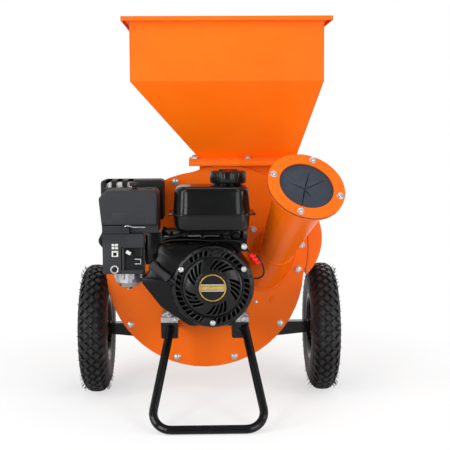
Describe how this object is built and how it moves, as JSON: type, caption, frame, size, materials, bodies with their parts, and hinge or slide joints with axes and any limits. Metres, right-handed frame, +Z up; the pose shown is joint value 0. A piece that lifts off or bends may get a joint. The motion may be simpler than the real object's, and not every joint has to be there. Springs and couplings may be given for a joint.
{
  "type": "chipper shredder",
  "caption": "Wheeled petrol garden shredder: square orange hopper over a hammer drum, angled chipper chute, black engine, tubular stand and pneumatic tyres.",
  "frame": {"origin": "on the ground at the middle of the overall outline", "axes": "+Z up, -Y towards the engine and starter side that the operator faces, +X towards the chipper chute"},
  "size_m": [0.714, 0.65, 1.022],
  "materials": {
    "orange_powder_coat": "semi-gloss",
    "black_powder_coat": "satin",
    "black_plastic": "satin",
    "rubber": "matte",
    "tyre_rubber": "matte",
    "zinc_plate": "satin",
    "steel": "satin",
    "cast_aluminium": "cast",
    "cast_iron": "cast",
    "bronze": "satin",
    "gold_trim": "gloss"
  },
  "bodies": {
    "machine_body": {"air_filter_base": "black_plastic", "air_filter_cover": "black_plastic", "bed_knife": "steel", "breather_hose": "rubber", "carburettor": "cast_aluminium", "chipper_chute": "orange_powder_coat", "chute_flap": "rubber", "chute_ring": "orange_powder_coat", "control_panel": "black_plastic", "crankcase": "cast_aluminium", "cylinder": "cast_aluminium", "deflector_hinge": "zinc_plate", "discharge_hood": "orange_powder_coat", "discharge_screen": "steel", "drum_shell": "orange_powder_coat", "fan_shroud": "black_plastic", "front_plate": "orange_powder_coat", "fuel_tank": "black_plastic", "governor_rod": "zinc_plate", "hopper": "orange_powder_coat", "left_axle_arm": "black_powder_coat", "left_engine_rail": "black_powder_coat", "left_washer": "zinc_plate", "muffler": "steel", "muffler_guard": "black_powder_coat", "rear_plate": "orange_powder_coat", "recoil_badge": "gold_trim", "recoil_cover": "black_plastic", "right_axle_arm": "black_powder_coat", "right_engine_rail": "black_powder_coat", "right_washer": "zinc_plate", "spark_plug": "black_plastic", "stand": "black_powder_coat", "valve_cover": "black_powder_coat"},
    "left_wheel": {"left_tyre": "tyre_rubber", "left_rim": "black_powder_coat", "left_bearing": "bronze"},
    "right_wheel": {"right_tyre": "tyre_rubber", "right_rim": "black_powder_coat", "right_bearing": "bronze"},
    "rotor_assembly": {"crankshaft": "steel", "rotor": "steel", "chipper_blade_1": "steel", "chipper_blade_2": "steel", "flywheel": "cast_iron"},
    "hammer_1": {"hammer_1": "steel"},
    "hammer_2": {"hammer_2": "steel"},
    "hammer_3": {"hammer_3": "steel"},
    "hammer_4": {"hammer_4": "steel"},
    "starter": {"starter_grip": "black_plastic"},
    "fuel_filler_cap": {"fuel_cap": "black_plastic"},
    "filter_nut": {"filter_knob": "black_plastic"},
    "choke": {"choke_lever": "cast_aluminium"},
    "fuel_valve": {"fuel_lever": "cast_aluminium"},
    "throttle": {"throttle_lever": "black_plastic"},
    "switch": {"engine_switch": "black_plastic"},
    "oil_dipstick": {"dipstick": "black_plastic"},
    "deflector": {"discharge_deflector": "orange_powder_coat"}
  },
  "joints": [
    {"name": "left_wheel_spin", "type": "hinge", "parent": "machine_body", "child": "left_wheel", "pos_m": [-0.317, 0.103, 0.179], "axis": [1, 0, 0], "continuous": true},
    {"name": "right_wheel_spin", "type": "hinge", "parent": "machine_body", "child": "right_wheel", "pos_m": [0.317, 0.103, 0.179], "axis": [1, 0, 0], "continuous": true},
    {"name": "rotor_spin", "type": "hinge", "parent": "machine_body", "child": "rotor_assembly", "pos_m": [0.007, 0.051, 0.352], "axis": [0, 1, 0], "continuous": true},
    {"name": "hammer_1_swing", "type": "hinge", "parent": "rotor_assembly", "child": "hammer_1", "pos_m": [0.0975, 0.1027, 0.4425], "axis": [0, 1, 0], "continuous": true},
    {"name": "hammer_2_swing", "type": "hinge", "parent": "rotor_assembly", "child": "hammer_2", "pos_m": [-0.0835, 0.1027, 0.4425], "axis": [0, 1, 0], "continuous": true},
    {"name": "hammer_3_swing", "type": "hinge", "parent": "rotor_assembly", "child": "hammer_3", "pos_m": [-0.0835, 0.1027, 0.2615], "axis": [0, 1, 0], "continuous": true},
    {"name": "hammer_4_swing", "type": "hinge", "parent": "rotor_assembly", "child": "hammer_4", "pos_m": [0.0975, 0.1027, 0.2615], "axis": [0, 1, 0], "continuous": true},
    {"name": "starter_pull", "type": "slide", "parent": "machine_body", "child": "starter", "axis": [-0.766, 0, 0.6428], "range_m": [0, 0.085], "stiffness_N_per_m": 120, "springref_m": -0.02},
    {"name": "fuel_cap_turn", "type": "hinge", "parent": "machine_body", "child": "fuel_filler_cap", "pos_m": [0.049, -0.164, 0.61], "axis": [0, 0, 1], "range_deg": [0, 90]},
    {"name": "filter_nut_turn", "type": "hinge", "parent": "machine_body", "child": "filter_nut", "pos_m": [-0.188, -0.159, 0.598], "axis": [0, 0, 1], "continuous": true},
    {"name": "choke_turn", "type": "hinge", "parent": "machine_body", "child": "choke", "pos_m": [-0.191, -0.199, 0.428], "axis": [0, 1, 0], "range_deg": [-40, 20]},
    {"name": "fuel_valve_turn", "type": "hinge", "parent": "machine_body", "child": "fuel_valve", "pos_m": [-0.183, -0.199, 0.402], "axis": [0, 1, 0], "range_deg": [0, 60]},
    {"name": "throttle_turn", "type": "hinge", "parent": "machine_body", "child": "throttle", "pos_m": [-0.15, -0.169, 0.463], "axis": [0, 1, 0], "range_deg": [-30, 30]},
    {"name": "switch_turn", "type": "hinge", "parent": "machine_body", "child": "switch", "pos_m": [-0.236, -0.219, 0.392], "axis": [0, 1, 0], "range_deg": [0, 60]},
    {"name": "dipstick_turn", "type": "hinge", "parent": "machine_body", "child": "oil_dipstick", "pos_m": [0.09, -0.089, 0.274], "axis": [1, 0, 0], "continuous": true},
    {"name": "deflector_tilt", "type": "hinge", "parent": "machine_body", "child": "deflector", "pos_m": [0.267, 0.2735, 0.513], "axis": [1, 0, 0], "range_deg": [0, 70]}
  ]
}
